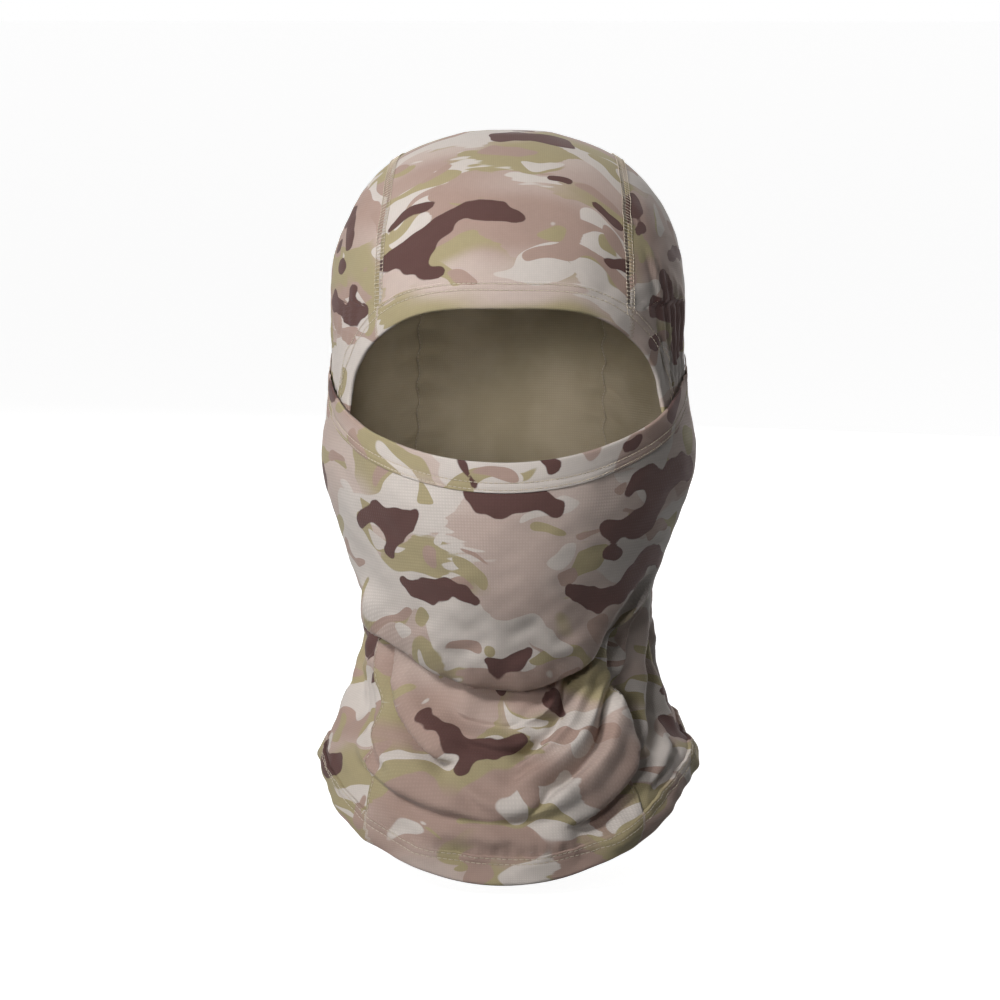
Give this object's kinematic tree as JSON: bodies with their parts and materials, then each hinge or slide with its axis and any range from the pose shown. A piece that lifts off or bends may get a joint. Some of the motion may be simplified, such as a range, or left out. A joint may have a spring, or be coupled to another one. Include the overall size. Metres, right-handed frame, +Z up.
{
  "type": "face mask",
  "caption": "Camouflage knit balaclava as worn, with an eye opening and a face band that pulls down under the chin.",
  "frame": {"origin": "midway between the two ear tacks that the face band turns about, inside the head space", "axes": "+Z up through the crown, the face looks along -Y, +X is the wearer's left"},
  "size_m": [0.177, 0.217, 0.3348],
  "materials": {
    "camo_cloth": "matt brushed knit, printed outside, plain inside",
    "binding_cloth": "matt folded knit strip, printed",
    "seam_thread": "light textured polyester thread"
  },
  "bodies": {
    "hood": {"crown_panel": "camo_cloth", "left_side_panel": "camo_cloth", "right_side_panel": "camo_cloth", "face_panel": "camo_cloth", "bib_panel": "camo_cloth", "brow_binding": "binding_cloth", "hem_band": "binding_cloth", "left_crown_seam_thread": "seam_thread", "right_crown_seam_thread": "seam_thread", "left_side_seam_thread": "seam_thread", "right_side_seam_thread": "seam_thread", "brow_stitching": "seam_thread", "hem_stitching": "seam_thread", "left_ear_tack": "seam_thread", "right_ear_tack": "seam_thread"},
    "face_band": {"face_binding": "binding_cloth", "face_stitching": "seam_thread"}
  },
  "joints": [
    {"name": "face_pull_down", "type": "hinge", "parent": "hood", "child": "face_band", "pos_m": [0, 0, 0], "axis": [1, 0, 0], "range_deg": [0, 45], "deforming": ["face_panel"]}
  ]
}
